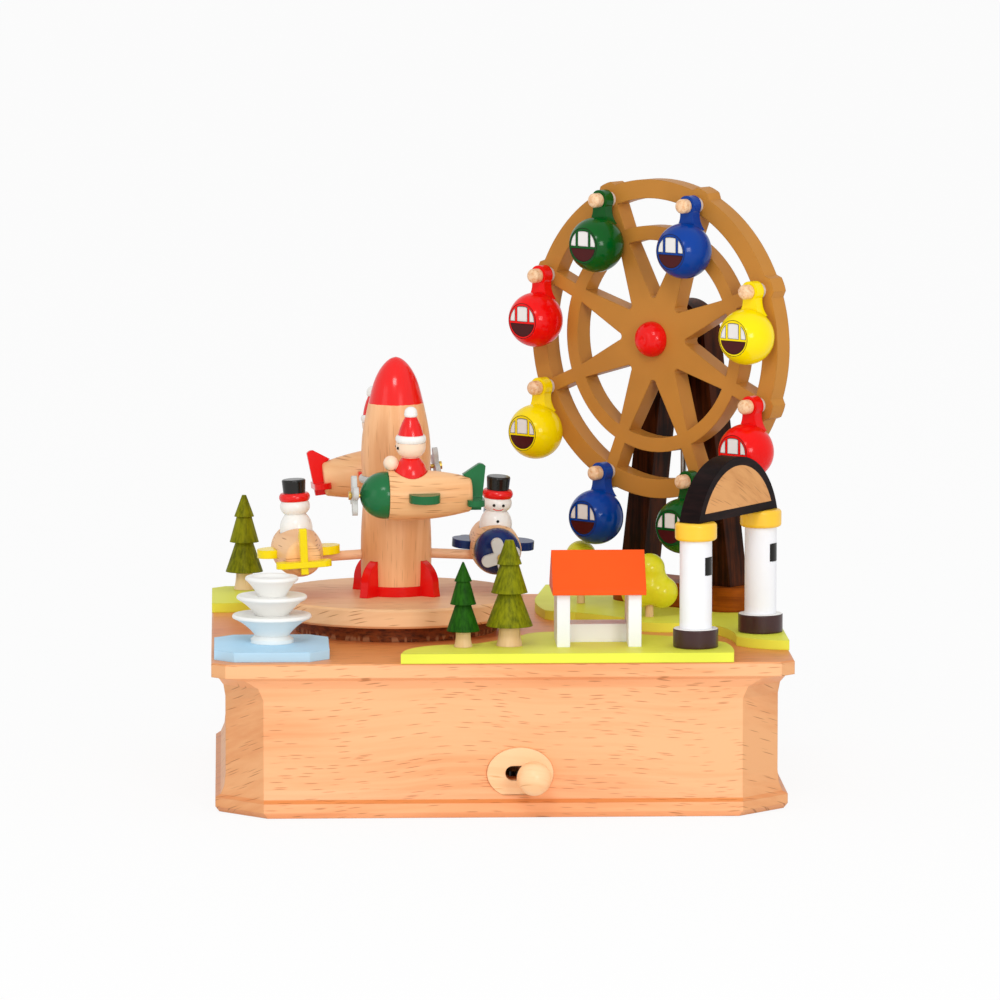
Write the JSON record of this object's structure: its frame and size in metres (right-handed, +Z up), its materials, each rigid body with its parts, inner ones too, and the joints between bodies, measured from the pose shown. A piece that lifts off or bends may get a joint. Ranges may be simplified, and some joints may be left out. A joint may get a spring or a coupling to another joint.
{
  "type": "wind-up wooden music box fairground toy",
  "caption": "Wooden music box fairground on a moulded base, with an aeroplane carousel round a rocket, a big wheel with hanging gondolas, a gate, a booth, a fountain and trees.",
  "frame": {"origin": "centre of the underside of the base, at table level", "axes": "+Z up, -Y towards the front with the lever, +X to the big wheel's side"},
  "size_m": [0.2085, 0.1981, 0.2161],
  "materials": {
    "beech": "clear lacquered beech",
    "plywood": "plain plywood",
    "steel": "plain steel",
    "brass": "satin brass",
    "dark_stain": "dark brown paint, satin",
    "brown_stain": "brown stain, satin",
    "pale_wood": "pale wood",
    "caramel": "caramel stain, satin",
    "white_paint": "white gloss paint on wood",
    "amber_paint": "amber gloss paint on wood",
    "orange_paint": "orange gloss paint on wood",
    "lawn_green": "yellow-green paint on wood",
    "pond_blue": "pale blue paint on wood",
    "lime": "lime gloss paint on wood",
    "tree_green": "green stain",
    "red": "red gloss paint on wood",
    "green": "green gloss paint on wood",
    "yellow": "yellow gloss paint on wood",
    "blue": "blue gloss paint on wood",
    "grey": "grey paint"
  },
  "bodies": {
    "base": {"base_case": "beech", "lever_escutcheon": "beech", "bottom_cover": "plywood", "cover_screws": "steel", "movement_bedplate": "brass", "tone_comb": "steel", "gear_pins": "steel", "turntable_ring": "dark_stain", "tower_frame": "dark_stain", "tower_plinth": "brown_stain", "gate_rings": "amber_paint", "gate_columns": "white_paint", "gate_arch": "dark_stain", "gate_panel": "beech", "booth_stand": "white_paint", "booth_roof": "orange_paint", "lawn_pieces": "lawn_green", "pond": "pond_blue", "fountain": "white_paint", "tree_crowns": "tree_green", "tree_trunks": "pale_wood", "bushes": "lime"},
    "carousel": {"turntable_disc": "pale_wood", "spindle": "steel", "drive_gear": "brass", "rocket_body": "beech", "rocket_band": "grey", "rocket_fins": "red", "plane_arms": "pale_wood", "plane_bodies": "beech", "yellow_trim": "yellow", "blue_trim": "blue", "green_trim": "green", "red_trim": "red", "propeller_pins": "steel", "snowmen": "white_paint", "dolls": "red"},
    "wheel": {"wheel_disc": "caramel", "wheel_pegs": "pale_wood", "hub_knob": "red", "wheel_axle": "steel"},
    "drive_shaft": {"drive_rod": "steel", "rod_gear": "brass"},
    "idler_a": {"idler_gear_a": "brass"},
    "idler_b": {"idler_gear_b": "brass"},
    "winder": {"winding_key": "steel"},
    "cylinder": {"pinned_cylinder": "brass"},
    "lever": {"stop_lever": "beech"},
    "gondola_1": {"gondola_1": "green"},
    "gondola_2": {"gondola_2": "blue"},
    "gondola_3": {"gondola_3": "yellow"},
    "gondola_4": {"gondola_4": "red"},
    "gondola_5": {"gondola_5": "green"},
    "gondola_6": {"gondola_6": "blue"},
    "gondola_7": {"gondola_7": "yellow"},
    "gondola_8": {"gondola_8": "red"},
    "propeller_1": {"propeller_1": "grey"},
    "propeller_2": {"propeller_2": "grey"},
    "propeller_3": {"propeller_3": "grey"},
    "propeller_4": {"propeller_4": "grey"}
  },
  "joints": [
    {"name": "carousel_spin", "type": "hinge", "parent": "base", "child": "carousel", "pos_m": [-0.0356, -0.0005, 0.061], "axis": [0, 0, 1], "continuous": true},
    {"name": "idler_a_spin", "type": "hinge", "parent": "base", "child": "idler_a", "pos_m": [-0.00085, 0.02308, 0.038], "axis": [0, 0, 1], "continuous": true},
    {"name": "idler_b_spin", "type": "hinge", "parent": "base", "child": "idler_b", "pos_m": [0.04054, 0.01592, 0.038], "axis": [0, 0, 1], "continuous": true},
    {"name": "shaft_spin", "type": "hinge", "parent": "base", "child": "drive_shaft", "pos_m": [0.07087, 0.03531, 0.038], "axis": [0, 0, 1], "continuous": true},
    {"name": "winder_spin", "type": "hinge", "parent": "base", "child": "winder", "pos_m": [-0.0356, -0.0305, 0.03], "axis": [0, 0, 1], "continuous": true},
    {"name": "cylinder_spin", "type": "hinge", "parent": "base", "child": "cylinder", "pos_m": [0.0095, -0.0305, 0.02303], "axis": [1, 0, 0], "continuous": true},
    {"name": "wheel_spin", "type": "hinge", "parent": "base", "child": "wheel", "pos_m": [0.0588, 0.0225, 0.1578], "axis": [-0.6858, -0.7278, 0], "continuous": true},
    {"name": "lever_swing", "type": "hinge", "parent": "base", "child": "lever", "pos_m": [0.0059, -0.0641, 0.01545], "axis": [0, 0, 1], "range_deg": [-13.8, 0]},
    {"name": "gondola_1_swing", "type": "hinge", "parent": "wheel", "child": "gondola_1", "pos_m": [0.0437, 0.03672, 0.20787], "axis": [-0.6858, -0.7278, 0], "continuous": true},
    {"name": "gondola_2_swing", "type": "hinge", "parent": "wheel", "child": "gondola_2", "pos_m": [0.0739, 0.00828, 0.20787], "axis": [-0.6858, -0.7278, 0], "continuous": true},
    {"name": "gondola_3_swing", "type": "hinge", "parent": "wheel", "child": "gondola_3", "pos_m": [0.09524, -0.01184, 0.17854], "axis": [-0.6858, -0.7278, 0], "continuous": true},
    {"name": "gondola_4_swing", "type": "hinge", "parent": "wheel", "child": "gondola_4", "pos_m": [0.09524, -0.01184, 0.13706], "axis": [-0.6858, -0.7278, 0], "continuous": true},
    {"name": "gondola_5_swing", "type": "hinge", "parent": "wheel", "child": "gondola_5", "pos_m": [0.0739, 0.00828, 0.10773], "axis": [-0.6858, -0.7278, 0], "continuous": true},
    {"name": "gondola_6_swing", "type": "hinge", "parent": "wheel", "child": "gondola_6", "pos_m": [0.0437, 0.03672, 0.10773], "axis": [-0.6858, -0.7278, 0], "continuous": true},
    {"name": "gondola_7_swing", "type": "hinge", "parent": "wheel", "child": "gondola_7", "pos_m": [0.02236, 0.05684, 0.13706], "axis": [-0.6858, -0.7278, 0], "continuous": true},
    {"name": "gondola_8_swing", "type": "hinge", "parent": "wheel", "child": "gondola_8", "pos_m": [0.02236, 0.05684, 0.17854], "axis": [-0.6858, -0.7278, 0], "continuous": true},
    {"name": "propeller_1_spin", "type": "hinge", "parent": "carousel", "child": "propeller_1", "pos_m": [-0.07311, 0.01519, 0.0842], "axis": [-0.0872, 0.9962, 0], "continuous": true},
    {"name": "propeller_2_spin", "type": "hinge", "parent": "carousel", "child": "propeller_2", "pos_m": [0.00184, -0.01615, 0.08288], "axis": [0.0833, -0.9941, -0.0697], "continuous": true},
    {"name": "propeller_3_spin", "type": "hinge", "parent": "carousel", "child": "propeller_3", "pos_m": [-0.05129, -0.03801, 0.108], "axis": [-0.9962, -0.0872, 0], "continuous": true},
    {"name": "propeller_4_spin", "type": "hinge", "parent": "carousel", "child": "propeller_4", "pos_m": [-0.02002, 0.0371, 0.10997], "axis": [0.9903, 0.0921, 0.1044], "continuous": true}
  ],
  "couplings": [
    {"joint": "idler_a_spin", "follows": "carousel_spin", "ratio": -1},
    {"joint": "idler_b_spin", "follows": "carousel_spin", "ratio": 1},
    {"joint": "shaft_spin", "follows": "carousel_spin", "ratio": -1.4},
    {"joint": "winder_spin", "follows": "carousel_spin", "ratio": -0.25},
    {"joint": "cylinder_spin", "follows": "carousel_spin", "ratio": 1.375},
    {"joint": "wheel_spin", "follows": "carousel_spin", "ratio": 0.46667},
    {"joint": "gondola_1_swing", "follows": "carousel_spin", "ratio": -0.46667},
    {"joint": "gondola_2_swing", "follows": "carousel_spin", "ratio": -0.46667},
    {"joint": "gondola_3_swing", "follows": "carousel_spin", "ratio": -0.46667},
    {"joint": "gondola_4_swing", "follows": "carousel_spin", "ratio": -0.46667},
    {"joint": "gondola_5_swing", "follows": "carousel_spin", "ratio": -0.46667},
    {"joint": "gondola_6_swing", "follows": "carousel_spin", "ratio": -0.46667},
    {"joint": "gondola_7_swing", "follows": "carousel_spin", "ratio": -0.46667},
    {"joint": "gondola_8_swing", "follows": "carousel_spin", "ratio": -0.46667}
  ]
}
